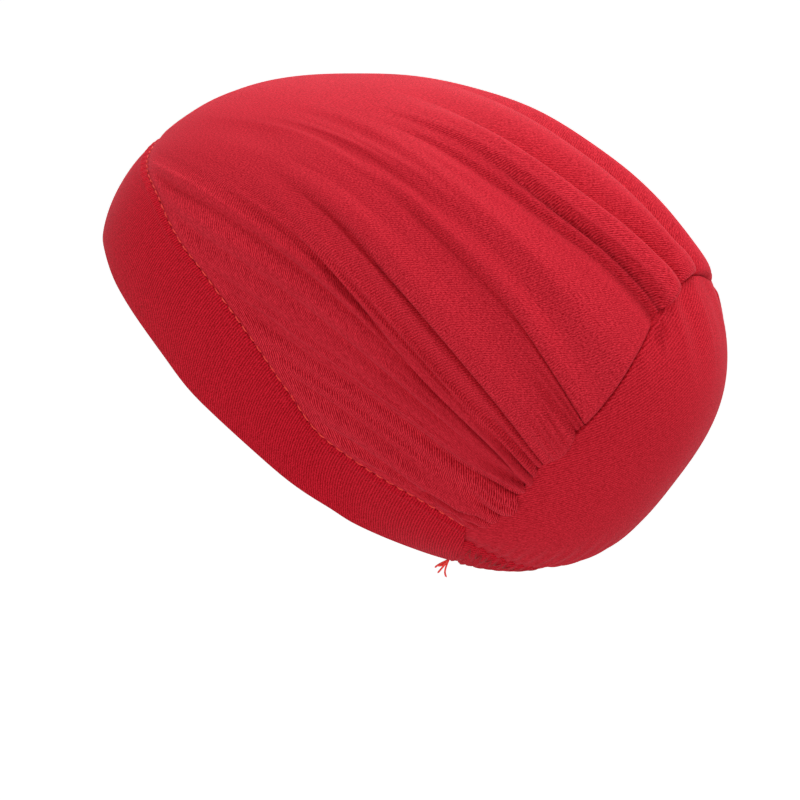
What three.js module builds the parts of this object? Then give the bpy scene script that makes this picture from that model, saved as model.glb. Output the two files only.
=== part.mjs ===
// A pre-tied turban of soft jersey, drawn in the form that it has on a head.
// A folded band goes round the brow and down behind the ears. Above it the crown cloth
// sweeps back in pleats to a gathered seam, and a plain back panel hangs below that seam
// as a pouch, drawn in at the nape by a short elastic casing.
// Millimetres, +Z up. The wearer faces -Y, and the wearer's left is +X.
// The origin lies in the middle of the head, level with the band's lower edge at the brow.

import * as THREE from "three";

// Sizes of the worn form
const FORM_CENTRE = new THREE.Vector3(0, 13, -6);
const FORM_HALF_WIDTH = 77;
const FORM_SQUARENESS = 2.15; // 2 makes each cross-section an ellipse, more makes it fuller
// Control radii of the side outline, evenly spaced round the centre: the first points
// straight back, and the next ones rise over the top, pass the brow and return below
const OUTLINE_RADII = [
  139, 117, 97, 86.5, 77.5, 73, 71, 71.5, 77, 86, 95, 104,
  113, 111, 115, 137, 140, 141, 140, 112, 127, 145, 143, 150,
];

// Cloth
const CROWN_CLOTH = 1.2; // one layer of jersey with its gathers
const BACK_CLOTH = 1.2;
const BAND_THICKNESS = 2.2; // jersey folded double
const CASING_THICKNESS = 2.4; // elastic inside a ruched fold
const SEAM_GAP = 0.5; // between the edges of two pieces
const SEAM_SINK = 0.9; // how far sewn edges are drawn in
const SEAM_SINK_REACH = 7; // how far from the seam the drawing-in starts
const PILLOW = 0.8; // how far the middle of the folded band and of the casing stands out
const EDGE_ROUNDNESS = 0.5; // how soon the band reaches its full height from an edge
const SEAM_SHARPNESS = 8; // how close to its seam the band dips

// Seams, each from the middle of the cap to its left end: turn is degrees round from the
// brow (0) by the left ear (90) to the back (180), rise is degrees above the form's centre
const BAND_LOWER_EDGE = [
  { turn: 0, rise: 3.1 }, { turn: 14, rise: 3 }, { turn: 25.7, rise: 1.2 },
  { turn: 34.8, rise: -4.2 }, { turn: 42.1, rise: -9.7 }, { turn: 56.3, rise: -21.4 },
  { turn: 70.7, rise: -32.4 }, { turn: 85.9, rise: -42.3 }, { turn: 101.9, rise: -51.3 },
  { turn: 111.2, rise: -55.9 }, { turn: 122.6, rise: -58.9 }, { turn: 135.4, rise: -60.3 },
  { turn: 149, rise: -60.4 },
];
const BAND_SEAM = [
  { turn: 0, rise: 25.5 }, { turn: 14, rise: 25 }, { turn: 27, rise: 23.4 },
  { turn: 42.4, rise: 20.6 }, { turn: 57.3, rise: 12.7 }, { turn: 68.5, rise: 5.4 },
  { turn: 80.7, rise: -6.7 }, { turn: 92.9, rise: -21.4 }, { turn: 102.2, rise: -32.6 },
  { turn: 116.5, rise: -38.3 }, { turn: 131.5, rise: -41.1 }, { turn: 141.8, rise: -43.2 },
];
const GATHERED_SEAM = [
  { turn: 180, rise: 4.9 }, { turn: 169.9, rise: 1.6 }, { turn: 164.2, rise: -4.1 },
  { turn: 157.3, rise: -14.8 }, { turn: 152.6, rise: -22.3 }, { turn: 149.6, rise: -30 },
  { turn: 146.9, rise: -37.1 }, { turn: 141.8, rise: -43.2 },
];
const CASING_SEAM = [
  { turn: 180, rise: -52.5 }, { turn: 165, rise: -51.8 }, { turn: 156, rise: -50.4 },
  { turn: 149.5, rise: -48.8 }, { turn: 143.6, rise: -47.6 },
];
const NAPE_EDGE = [
  { turn: 180, rise: -60.8 }, { turn: 165, rise: -60.7 }, { turn: 149, rise: -60.4 },
];

// How the crown cloth runs from the band seam to the gathered seam, on the left half.
// across is the place over the cloth from the middle (0) to the left end (1), front and
// rear are the shares of the two seams there, and bow bends the run sideways in degrees
const CROWN_RUN = [
  { across: 0, rear: 0, front: 0, bow: 0 },
  { across: 0.1, rear: 0.142, front: 0.03, bow: 8 },
  { across: 0.21, rear: 0.303, front: 0.06, bow: 15 },
  { across: 0.34, rear: 0.515, front: 0.08, bow: 30 },
  { across: 0.43, rear: 0.649, front: 0.1, bow: 31.5 },
  { across: 0.495, rear: 0.732, front: 0.14, bow: 27 },
  { across: 0.665, rear: 0.777, front: 0.5, bow: 4.5 },
  { across: 0.8, rear: 0.905, front: 0.64, bow: 4 },
  { across: 1, rear: 1, front: 1, bow: 0 },
];

const FULL_LENGTH = 2; // fade of a fold that runs right into the seam

// Pleats and gathers of the crown. across is the fold's place over the cloth, spread its
// half width there, height its rise in mm (a valley is negative), and it grows between
// from and full, shares of the way from the band seam (0) to the gathered seam (1).
// fade is where it has died away again, or FULL_LENGTH for a fold that runs into the seam
const MIDDLE_FOLDS = [
  { across: -0.1, spread: 0.045, height: 2.4, from: 0.3, full: 0.85, fade: FULL_LENGTH },
  { across: -0.045, spread: 0.035, height: -3, from: 0.35, full: 0.85, fade: FULL_LENGTH },
  { across: 0.005, spread: 0.04, height: 3, from: 0.3, full: 0.85, fade: FULL_LENGTH },
  { across: 0.052, spread: 0.035, height: -4.4, from: 0.3, full: 0.85, fade: FULL_LENGTH },
  { across: 0.1, spread: 0.045, height: 5, from: 0.25, full: 0.85, fade: FULL_LENGTH },
  { across: 0.165, spread: 0.05, height: -4.2, from: 0.3, full: 0.8, fade: FULL_LENGTH },
];
const SIDE_FOLDS = [
  { across: 0.235, spread: 0.045, height: 2.4, from: 0.35, full: 0.65, fade: 0.95 },
  { across: 0.282, spread: 0.04, height: -1.6, from: 0.4, full: 0.65, fade: 0.9 },
  { across: 0.33, spread: 0.04, height: 2.2, from: 0.3, full: 0.8, fade: FULL_LENGTH },
  { across: 0.364, spread: 0.035, height: -2.4, from: 0.35, full: 0.85, fade: FULL_LENGTH },
  { across: 0.4, spread: 0.045, height: 3.2, from: 0.55, full: 0.9, fade: FULL_LENGTH },
  { across: 0.433, spread: 0.03, height: 2.6, from: 0.2, full: 0.6, fade: FULL_LENGTH },
  { across: 0.462, spread: 0.03, height: -1.8, from: 0.2, full: 0.7, fade: FULL_LENGTH },
  { across: 0.493, spread: 0.035, height: 1.7, from: 0.2, full: 0.7, fade: FULL_LENGTH },
  { across: 0.54, spread: 0.045, height: -1, from: 0.3, full: 0.8, fade: FULL_LENGTH },
  { across: 0.6, spread: 0.06, height: 2.4, from: 0.02, full: 0.3, fade: 0.7 },
  { across: 0.67, spread: 0.05, height: 3, from: 0.35, full: 0.85, fade: FULL_LENGTH },
  { across: 0.735, spread: 0.04, height: -2.2, from: 0.25, full: 0.8, fade: FULL_LENGTH },
  { across: 0.8, spread: 0.05, height: 3, from: 0.4, full: 0.85, fade: FULL_LENGTH },
  { across: 0.86, spread: 0.04, height: -1.8, from: 0.3, full: 0.75, fade: FULL_LENGTH },
  { across: 0.92, spread: 0.05, height: 2, from: 0.35, full: 0.8, fade: FULL_LENGTH },
];
const LOBE_LENGTH = 0.07; // share of the run over which each fold rounds down to the seam
const LOBE_LEFT = 0.2; // share of a fold's height that is left right at the seam
const RIGHT_SPREAD = 0.98; // the right half's folds lie a little nearer the middle
const RIGHT_HEIGHT = 0.9; // and stand a little lower

// Puckers of the back panel below the gathers: reach is the share of the panel's height
// over which each dies away
const BACK_PUCKERS = [
  { across: 0, spread: 0.09, height: 1.4, reach: 0.4 },
  { across: 0.13, spread: 0.06, height: -1.2, reach: 0.35 },
  { across: 0.25, spread: 0.07, height: 1.5, reach: 0.3 },
  { across: 0.36, spread: 0.05, height: -0.9, reach: 0.25 },
];
const NAPE_RUCHES = 22; // small gathers that the elastic draws round the nape
const RUCHE_HEIGHT = 0.5;
const NAPE_DRAW = 0.35; // how far up the back panel the casing's gathers are felt

// Columns and rows of the cloth grids. A crowd above 1 packs the rows near the far edge,
// where the crown's pleats run into their seam
const CROWN_GRID = { columns: 84, rows: 19, crowd: 1.5 };
const BACK_GRID = { columns: 42, rows: 12, crowd: 1 };
const BAND_GRID = { columns: 64, rows: 6, crowd: 1 };
const CASING_GRID = { columns: 44, rows: 4, crowd: 1 };
const CROWN_END = 0.99; // the crown stops this far over its half, where the seams meet

const clamp = THREE.MathUtils.clamp;
const smoothstep = THREE.MathUtils.smoothstep;
const radians = THREE.MathUtils.degToRad;

// Radius of the side outline at an angle up from straight back, a smooth closed B-spline
function outlineRadius(angle) {
  const count = OUTLINE_RADII.length;
  const place = THREE.MathUtils.euclideanModulo(angle / (2 * Math.PI), 1) * count;
  const step = Math.floor(place);
  const t = place - step;
  const weights = [
    (1 - t) ** 3,
    3 * t ** 3 - 6 * t ** 2 + 4,
    -3 * t ** 3 + 3 * t ** 2 + 3 * t + 1,
    t ** 3,
  ];
  return weights.reduce((sum, weight, i) => {
    return sum + (weight / 6) * OUTLINE_RADII[(step + i - 1 + count) % count];
  }, 0);
}

// Distance from the centre to the worn form in a direction
function formRadius(direction) {
  const upright = Math.hypot(direction.y, direction.z);
  const side = Math.abs(direction.x) / FORM_HALF_WIDTH;
  const middle = upright / outlineRadius(Math.atan2(direction.z, direction.y));
  return (side ** FORM_SQUARENESS + middle ** FORM_SQUARENESS) ** (-1 / FORM_SQUARENESS);
}

function formPoint(direction) {
  const unit = direction.clone().normalize();
  return unit.multiplyScalar(formRadius(unit)).add(FORM_CENTRE);
}

// How far outside the form a point lies, as a share of the form's radius there
function formLevel(point) {
  const arm = point.clone().sub(FORM_CENTRE);
  const distance = arm.length();
  return distance / formRadius(arm.divideScalar(distance));
}

// The form's outward normal, from the slope of formLevel over a short step each way
function formNormal(point) {
  const step = 0.5;
  const slope = ["x", "y", "z"].map((axis) => {
    const ahead = point.clone();
    const behind = point.clone();
    ahead[axis] += step;
    behind[axis] -= step;
    return formLevel(ahead) - formLevel(behind);
  });
  return new THREE.Vector3(...slope).normalize();
}

function toward({ turn, rise }) {
  const around = radians(turn);
  const up = radians(rise);
  return new THREE.Vector3(
    Math.sin(around) * Math.cos(up), -Math.cos(around) * Math.cos(up), Math.sin(up),
  );
}

// A seam drawn on the form through its left rows and their mirror image. The result gives
// the direction from the form's centre at a share of the left half's length, 0 to 1
function seamLine(rows) {
  const left = rows.map((row) => formPoint(toward(row)));
  const right = left.slice(1).reverse().map((p) => new THREE.Vector3(-p.x, p.y, p.z));
  const curve = new THREE.CatmullRomCurve3([...right, ...left], false, "centripetal");
  return (share) => curve.getPointAt(clamp(0.5 + share / 2, 0, 1)).sub(FORM_CENTRE).normalize();
}

// A monotone curve through the rows of a table, from column x to column y
function readTable(rows, x, y) {
  const slopes = rows.slice(1).map((row, i) => (row[y] - rows[i][y]) / (row[x] - rows[i][x]));
  const tangents = rows.map((row, i) => {
    if (i === 0) return slopes[0];
    if (i === rows.length - 1) return slopes[i - 1];
    const product = slopes[i - 1] * slopes[i];
    return product > 0 ? (2 * product) / (slopes[i - 1] + slopes[i]) : 0;
  });
  return (value) => {
    let i = 0;
    while (i < rows.length - 2 && value > rows[i + 1][x]) i += 1;
    const width = rows[i + 1][x] - rows[i][x];
    const t = (value - rows[i][x]) / width;
    return rows[i][y] * (1 + 2 * t) * (1 - t) ** 2
      + tangents[i] * width * t * (1 - t) ** 2
      + rows[i + 1][y] * t ** 2 * (3 - 2 * t)
      + tangents[i + 1] * width * t ** 2 * (t - 1);
  };
}

// The direction a share of the way along the great circle between two directions, pushed
// sideways by a bow in degrees at the middle
function between(start, end, share, bow = 0) {
  const angle = start.angleTo(end);
  const direction = start.clone().multiplyScalar(Math.sin((1 - share) * angle))
    .addScaledVector(end, Math.sin(share * angle))
    .divideScalar(Math.sin(angle));
  const side = start.clone().cross(end).normalize();
  return direction.addScaledVector(side, Math.tan(radians(bow)) * Math.sin(Math.PI * share));
}

function lengthBetween(start, end) {
  return formPoint(start).distanceTo(formPoint(end));
}

// Works on the left half and mirrors the result for the right
function bothSides(across, leftDirection) {
  const direction = leftDirection(Math.abs(across));
  if (across < 0) direction.x *= -1;
  return direction;
}

const lowerEdge = seamLine(BAND_LOWER_EDGE);
const bandSeam = seamLine(BAND_SEAM);
const gatheredSeam = seamLine(GATHERED_SEAM);
const casingSeam = seamLine(CASING_SEAM);
const napeEdge = seamLine(NAPE_EDGE);
const rearShare = readTable(CROWN_RUN, "across", "rear");
const frontShare = readTable(CROWN_RUN, "across", "front");
const runBow = readTable(CROWN_RUN, "across", "bow");

// The part of a strip between two edges that is left when each end gives up half a gap
function insideGaps(along, length, gapAtStart = true, gapAtEnd = true) {
  const give = SEAM_GAP / 2 / length;
  const start = gapAtStart ? give : 0;
  const end = gapAtEnd ? 1 - give : 1;
  return start + (end - start) * along;
}

// How far cloth is drawn in, a distance in mm away from a sewn edge
function seamSink(distance) {
  return -SEAM_SINK * (1 - smoothstep(distance, 0, SEAM_SINK_REACH));
}

// One raised fold or valley across the cloth, round-topped, between -spread and spread
function foldShape(offset, spread) {
  const x = clamp(offset / spread, -1, 1);
  return Math.cos((Math.PI / 2) * x) ** 2;
}

// The right half repeats the side folds, a little lower
const CROWN_FOLDS = [
  ...MIDDLE_FOLDS,
  ...SIDE_FOLDS,
  ...SIDE_FOLDS.map((fold) => {
    return { ...fold, across: -fold.across * RIGHT_SPREAD, height: fold.height * RIGHT_HEIGHT };
  }),
];

function crownLift(across, along) {
  const lobe = 1 - (1 - LOBE_LEFT) * smoothstep(along, 1 - LOBE_LENGTH, 1);
  return CROWN_FOLDS.reduce((lift, fold) => {
    const grown = smoothstep(along, fold.from, fold.full);
    const ends = fold.fade < FULL_LENGTH;
    const kept = ends ? 1 - smoothstep(along, fold.full, fold.fade) : 1;
    return lift + fold.height * grown * kept * lobe * foldShape(across - fold.across, fold.spread);
  }, 0);
}

function crownCloth(across, along) {
  const place = across * CROWN_END;
  const half = Math.abs(place);
  const front = bandSeam(frontShare(half));
  const rear = gatheredSeam(rearShare(half));
  const length = lengthBetween(front, rear);
  const share = insideGaps(along, length);
  const direction = bothSides(place, () => between(front, rear, share, runBow(half)));
  const sink = seamSink(share * length) + seamSink((1 - share) * length);
  return { direction, lift: crownLift(place, share) + sink };
}

function backLift(across, along) {
  const fromTop = BACK_PUCKERS.reduce((lift, fold) => {
    const left = 1 - smoothstep(along, 0, fold.reach);
    return lift + fold.height * left * foldShape(Math.abs(across) - fold.across, fold.spread);
  }, 0);
  const drawn = smoothstep(along, 1 - NAPE_DRAW, 1);
  return fromTop + RUCHE_HEIGHT * drawn * Math.cos(Math.PI * NAPE_RUCHES * across);
}

function backCloth(across, along) {
  const half = Math.abs(across);
  const end = insideGaps(half, lengthBetween(casingSeam(1), casingSeam(0)), false, true);
  const top = gatheredSeam(end);
  const bottom = casingSeam(end);
  const length = lengthBetween(top, bottom);
  const share = insideGaps(along, length);
  const direction = bothSides(across, () => between(top, bottom, share));
  const sink = seamSink(share * length) + seamSink((1 - share) * length);
  return { direction, lift: backLift(across, share) + sink };
}

// The band is thin at its folded lower edge and at the seam, and full between them
function bandCloth(across, along) {
  const half = insideGaps(Math.abs(across), lengthBetween(lowerEdge(1), lowerEdge(0)), false, true);
  const bottom = lowerEdge(half);
  const top = bandSeam(half);
  const length = lengthBetween(bottom, top);
  const share = insideGaps(along, length, false, true);
  const direction = bothSides(across, () => between(bottom, top, share));
  const pillow = PILLOW * Math.sin(Math.PI * share) ** EDGE_ROUNDNESS;
  return { direction, lift: pillow - SEAM_SINK * share ** SEAM_SHARPNESS };
}

function casingCloth(across, along) {
  const half = insideGaps(Math.abs(across), lengthBetween(casingSeam(1), casingSeam(0)), false, true);
  const top = casingSeam(half);
  const bottom = napeEdge(half);
  const length = lengthBetween(top, bottom);
  const share = insideGaps(along, length, true, false);
  const direction = bothSides(across, () => between(top, bottom, share));
  const ruche = RUCHE_HEIGHT * Math.cos(Math.PI * NAPE_RUCHES * across);
  const pillow = PILLOW * Math.sin(Math.PI * share);
  return { direction, lift: pillow + ruche - SEAM_SINK * (1 - share) ** SEAM_SHARPNESS };
}

// A closed wall of cloth on a grid. cloth(across, along) gives the direction from the
// form's centre and the lift of the outer face, and the inner face lies thickness below it
function clothWall({ columns, rows, crowd }, cloth, thickness) {
  const positions = [];
  const place = (i, j, depth) => {
    const across = (2 * i) / columns - 1;
    const along = 1 - (1 - j / rows) ** crowd;
    const { direction, lift } = cloth(across, along);
    const point = formPoint(direction);
    point.addScaledVector(formNormal(point), lift - depth);
    positions.push(point.x, point.y, point.z);
  };
  for (const depth of [0, thickness]) {
    for (let i = 0; i <= columns; i += 1) {
      for (let j = 0; j <= rows; j += 1) place(i, j, depth);
    }
  }
  const outer = (i, j) => i * (rows + 1) + j;
  const inner = (i, j) => (columns + 1) * (rows + 1) + outer(i, j);
  const indices = [];
  const quad = (a, b, c, d) => indices.push(a, b, c, a, c, d);
  for (let i = 0; i < columns; i += 1) {
    for (let j = 0; j < rows; j += 1) {
      quad(outer(i, j), outer(i + 1, j), outer(i + 1, j + 1), outer(i, j + 1));
      quad(inner(i, j), inner(i, j + 1), inner(i + 1, j + 1), inner(i + 1, j));
    }
    quad(outer(i, 0), inner(i, 0), inner(i + 1, 0), outer(i + 1, 0));
    quad(outer(i, rows), outer(i + 1, rows), inner(i + 1, rows), inner(i, rows));
  }
  for (let j = 0; j < rows; j += 1) {
    quad(outer(0, j), outer(0, j + 1), inner(0, j + 1), inner(0, j));
    quad(outer(columns, j), inner(columns, j), inner(columns, j + 1), outer(columns, j + 1));
  }
  const geometry = new THREE.BufferGeometry();
  geometry.setAttribute("position", new THREE.Float32BufferAttribute(positions, 3));
  geometry.setIndex(indices);
  geometry.computeVertexNormals();
  return geometry;
}

function jersey(color) {
  return new THREE.MeshStandardMaterial({ color, roughness: 0.85, metalness: 0 });
}

function piece(name, geometry, material) {
  const mesh = new THREE.Mesh(geometry, material);
  mesh.name = name;
  return mesh;
}

const RED_JERSEY = jersey(0xbc2637);
const BAND_JERSEY = jersey(0xb01c2b);

const turban = new THREE.Group();
turban.add(
  piece("brow_band", clothWall(BAND_GRID, bandCloth, BAND_THICKNESS), BAND_JERSEY),
  piece("crown", clothWall(CROWN_GRID, crownCloth, CROWN_CLOTH), RED_JERSEY),
  piece("back_panel", clothWall(BACK_GRID, backCloth, BACK_CLOTH), RED_JERSEY),
  piece("nape_casing", clothWall(CASING_GRID, casingCloth, CASING_THICKNESS), RED_JERSEY),
);

export default turban;
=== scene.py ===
# %% [markdown]
# # A pre-tied turban, worn shape
# The real thing is a cap of thin red jersey. A folded band goes round the brow, the crown
# cloth sweeps back in pleats to a gathered seam, and a plain back panel hangs below that
# seam as a pouch with a short elastic casing at the nape. The imported model holds these
# four pieces as plain walls, and this lesson dresses each of them with finer cloth.
# Loading the frame first gives the box around the imported pieces.

# %% Load the frame
from collections import namedtuple
from math import cos, pi, radians, sin, tan

import bpy
import numpy as np
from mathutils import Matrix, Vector


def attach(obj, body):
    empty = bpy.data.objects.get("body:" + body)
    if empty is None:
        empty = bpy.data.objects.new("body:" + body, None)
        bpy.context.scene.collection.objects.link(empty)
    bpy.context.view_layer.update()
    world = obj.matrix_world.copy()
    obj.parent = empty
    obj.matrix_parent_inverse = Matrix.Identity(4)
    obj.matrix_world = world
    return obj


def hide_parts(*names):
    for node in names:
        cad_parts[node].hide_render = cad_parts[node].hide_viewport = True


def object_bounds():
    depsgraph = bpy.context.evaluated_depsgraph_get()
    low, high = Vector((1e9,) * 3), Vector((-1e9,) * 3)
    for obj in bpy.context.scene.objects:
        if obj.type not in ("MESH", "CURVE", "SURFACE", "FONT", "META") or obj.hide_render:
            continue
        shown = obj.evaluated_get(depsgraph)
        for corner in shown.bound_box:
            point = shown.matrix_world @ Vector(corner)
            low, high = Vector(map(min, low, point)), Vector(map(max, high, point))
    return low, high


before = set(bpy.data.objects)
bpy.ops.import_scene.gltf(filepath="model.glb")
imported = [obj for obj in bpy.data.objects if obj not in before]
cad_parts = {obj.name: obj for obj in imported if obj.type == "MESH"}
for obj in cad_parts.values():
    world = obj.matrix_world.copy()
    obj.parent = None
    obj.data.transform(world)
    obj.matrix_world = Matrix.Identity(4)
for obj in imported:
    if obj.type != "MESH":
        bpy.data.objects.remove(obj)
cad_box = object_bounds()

MM = 0.001  # the lesson's tables are in millimetres, and Blender's meshes in metres
print("CAD box, metres:", [tuple(round(x, 4) for x in corner) for corner in cad_box])


# %% [markdown]
# ## Camera
# The photo was taken from the cap's left and a little behind, from slightly above and
# from over a metre away. A long lens with the camera at that distance gives the same
# mild perspective. The camera could be shifted to move the cap up in the frame, but
# aiming it a little lower does the same and keeps the other views centred.

# %% Camera
VIEW_AZIMUTH = 118  # degrees round from straight in front, towards the cap's left
VIEW_RISE = 16
VIEW_DISTANCE = 1.2
VIEW_CENTRE = Vector((0, 0.023, -0.021))  # what the angles are measured about
AIM_RIGHT = 0.0017
AIM_DOWN = 0.0375
LENS = 140.4  # mm, on the sensor's width
SENSOR_WIDTH = 36


def new_object(name, data):
    thing = bpy.data.objects.new(name, data)
    bpy.context.scene.collection.objects.link(thing)
    return thing


def aim_at(thing, target):
    """Turn a camera or a lamp, which both look along their own -Z, towards a point."""
    thing.rotation_euler = (Vector(target) - thing.location).to_track_quat("-Z", "Y").to_euler()


def back_of_view(azimuth, rise):
    a, r = radians(azimuth), radians(rise)
    return Vector((sin(a) * cos(r), -cos(a) * cos(r), sin(r)))


view_back = back_of_view(VIEW_AZIMUTH, VIEW_RISE)
view_right = Vector((0, 0, 1)).cross(view_back).normalized()
view_up = view_back.cross(view_right)

camera_data = bpy.data.cameras.new("photo_camera")
camera_data.lens = LENS
camera_data.sensor_width = SENSOR_WIDTH
camera = new_object("photo_camera", camera_data)
camera.location = VIEW_CENTRE + view_back * VIEW_DISTANCE
aim_at(camera, VIEW_CENTRE + view_right * AIM_RIGHT - view_up * AIM_DOWN)
bpy.context.scene.camera = camera
print("camera at", [round(x, 3) for x in camera.location])


# %% [markdown]
# ## Floor
# The cap is held up in the air, so the floor lies well below it. The photo's ground is even
# and white. A floor lit by lamps alone is grey at the sides, and a glowing one would light the
# cap's lower side. So this one hardly glows under the cap, and does from some way off, where
# the camera sees it.

# %% Floor
FLOOR_DROP = 1.6
FLOOR_SIZE = 160
NEAR_GLOW = 0.02  # the floor's own glow under the cap
FAR_GLOW = 0.74  # and from GLOW_REACH metres on, where the camera sees it
GLOW_REACH = 3.0


def new_material(name):
    material = bpy.data.materials.new(name)
    material.use_nodes = True
    return material, material.node_tree, material.node_tree.nodes["Principled BSDF"]


def set_sockets(node, values):
    """Set a node's own input sockets by their names."""
    for name, value in values.items():
        node.inputs[name].default_value = value


bpy.ops.mesh.primitive_grid_add(x_subdivisions=8, y_subdivisions=8, size=FLOOR_SIZE)
floor = bpy.context.object
floor.name = "studio_floor"
floor.location = (0, 0, cad_box[0].z - FLOOR_DROP)
pale_floor, tree, shader = new_material("pale_floor")
set_sockets(shader, {"Base Color": (0.9, 0.9, 0.9, 1), "Roughness": 0.9})
set_sockets(shader, {"Emission Color": (1, 1, 1, 1)})
place = tree.nodes.new("ShaderNodeTexCoord")
reach = tree.nodes.new("ShaderNodeVectorMath")
reach.operation = "LENGTH"
tree.links.new(place.outputs["Object"], reach.inputs[0])
glow = tree.nodes.new("ShaderNodeMapRange")
set_sockets(glow, {"From Min": GLOW_REACH / 2, "From Max": GLOW_REACH})
set_sockets(glow, {"To Min": NEAR_GLOW, "To Max": FAR_GLOW})
tree.links.new(reach.outputs["Value"], glow.inputs["Value"])
tree.links.new(glow.outputs["Result"], shader.inputs["Emission Strength"])
floor.data.materials.append(pale_floor)
print("floor at z", round(floor.location.z, 3))


# %% [markdown]
# ## World and lamps
# The light in the photo comes from all round, with more from above. A world that is white
# at the horizon and dimmer overhead gives the even part. Large soft lamps overhead and on
# the far side shade the folds and brighten the top edge. Two weaker ones, in front and to
# the rear left, keep the brow and the near side clear. Small lamps would draw hard shadows.

# %% World and lamps
SKY_LIGHT = 0.28  # overhead, and full white at the horizon
SKY_WHITE = 0.06  # how high the sky is white up to, and from where it is at its dimmest
SKY_DIM = 0.3
LAMP_SIZE = 0.8
LAMP_TARGET = (0, 0.03, 0)
LAMPS = [  # each with its place in metres and its watts
    ("key_lamp", (0, 0.3, 1.45), 7.6),
    ("far_side_lamp", (-0.95, -0.35, 1.1), 12.6),
    ("far_back_lamp", (-0.6, 0.9, 1.0), 7.6),
    ("front_lamp", (0.4, -1.0, 0.9), 3.7),
    ("near_side_lamp", (1.15, 0.75, 0.35), 2.4),
]


def two_colours(tree, start, end):
    """A ramp between two colours, each given with the value at which it is reached."""
    ramp = tree.nodes.new("ShaderNodeValToRGB")
    for stop, (value, colour) in zip(ramp.color_ramp.elements, (start, end)):
        stop.position = value
        stop.color = (*colour, 1)
    return ramp


world = bpy.data.worlds.new("studio_world")
bpy.context.scene.world = world
world.use_nodes = True
tree = world.node_tree
place = tree.nodes.new("ShaderNodeTexCoord")
split = tree.nodes.new("ShaderNodeSeparateXYZ")
sky = two_colours(tree, (SKY_WHITE, (1, 1, 1)), (SKY_DIM, (SKY_LIGHT,) * 3))
tree.links.new(place.outputs["Generated"], split.inputs["Vector"])
tree.links.new(split.outputs["Z"], sky.inputs["Fac"])
tree.links.new(sky.outputs["Color"], tree.nodes["Background"].inputs["Color"])

for name, place, watts in LAMPS:
    light = bpy.data.lights.new(name, "AREA")
    light.shape = "DISK"
    light.size = LAMP_SIZE
    light.energy = watts
    lamp = new_object(name, light)
    lamp.visible_camera = False
    lamp.location = place
    aim_at(lamp, LAMP_TARGET)
bpy.context.scene.view_settings.view_transform = "Standard"
print(len(LAMPS), "lamps of", sum(watts for name, place, watts in LAMPS), "watts in all")


# %% [markdown]
# ## The form under the cloth
# Stretched jersey is smooth and round all over, here with a pouch behind. It could be
# sculpted, but one closed form is enough for all pieces: a side outline given by radii at
# even angles, and a full round width. Its cross-sections are a little squarer than
# ellipses. Each cloth is then laid on this form along its outward normal, so pieces that
# meet at a seam meet in space too.

# %% Form
CENTRE = np.array([0.0, 13.0, -6.0])
HALF_WIDTH = 77.0
SQUARENESS = 2.15
# Radii of the side outline, evenly spaced: straight back, over the top, the brow, below
OUTLINE_RADII = np.array([
    139, 117, 97, 86.5, 77.5, 73, 71, 71.5, 77, 86, 95, 104,
    113, 111, 115, 137, 140, 141, 140, 112, 127, 145, 143, 150,
])


def unit(vectors):
    return vectors / np.linalg.norm(vectors, axis=-1, keepdims=True)


def outline_radius(angle):
    """A closed uniform B-spline through the table, at angles up from straight back."""
    count = len(OUTLINE_RADII)
    place = (angle / (2 * pi) % 1) * count
    step = np.floor(place).astype(int)
    t = place - step
    weights = [(1 - t) ** 3, 3 * t**3 - 6 * t**2 + 4, -3 * t**3 + 3 * t**2 + 3 * t + 1, t**3]
    return sum(w / 6 * OUTLINE_RADII[(step + k - 1) % count] for k, w in enumerate(weights))


def form_radius(direction):
    upright = np.hypot(direction[..., 1], direction[..., 2])
    middle = upright / outline_radius(np.arctan2(direction[..., 2], direction[..., 1]))
    side = np.abs(direction[..., 0]) / HALF_WIDTH
    return (side**SQUARENESS + middle**SQUARENESS) ** (-1 / SQUARENESS)


def form_point(direction):
    direction = unit(direction)
    return CENTRE + direction * form_radius(direction)[..., None]


def form_level(point):
    arm = point - CENTRE
    distance = np.linalg.norm(arm, axis=-1)
    return distance / form_radius(arm / distance[..., None])


def form_normal(point):
    slope = np.zeros_like(point)
    for axis in range(3):
        step = np.zeros(3)
        step[axis] = 0.5
        slope[..., axis] = form_level(point + step) - form_level(point - step)
    return unit(slope)


brow = form_point(np.array([[0.0, -1.0, 0.0]]))[0]
print("the form's brow point, mm:", brow.round(1))


# %% [markdown]
# ## Seams
# The seams are what a tailor would draw on the worn cap. Each is a short table of turn
# (degrees round from the brow by the left side) and rise (degrees above the centre), for
# the left half, and its mirror image makes the right half. A centripetal Catmull-Rom
# curve passes through every row without kinks or loops, also where rows lie close.

# %% Seam tables
BAND_LOWER_EDGE = [
    (0, 3.1), (14, 3), (25.7, 1.2), (34.8, -4.2), (42.1, -9.7), (56.3, -21.4), (70.7, -32.4),
    (85.9, -42.3), (101.9, -51.3), (111.2, -55.9), (122.6, -58.9), (135.4, -60.3), (149, -60.4),
]
BAND_SEAM = [
    (0, 25.5), (14, 25), (27, 23.4), (42.4, 20.6), (57.3, 12.7), (68.5, 5.4),
    (80.7, -6.7), (92.9, -21.4), (102.2, -32.6), (116.5, -38.3), (131.5, -41.1), (141.8, -43.2),
]
GATHERED_SEAM = [
    (180, 4.9), (169.9, 1.6), (164.2, -4.1), (157.3, -14.8),
    (152.6, -22.3), (149.6, -30), (146.9, -37.1), (141.8, -43.2),
]
CASING_SEAM = [(180, -52.5), (165, -51.8), (156, -50.4), (149.5, -48.8), (143.6, -47.6)]
NAPE_EDGE = [(180, -60.8), (165, -60.7), (149, -60.4)]


def toward(turn, rise):
    turn, rise = radians(turn), radians(rise)
    return np.array([sin(turn) * cos(rise), -cos(turn) * cos(rise), sin(rise)])


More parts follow.
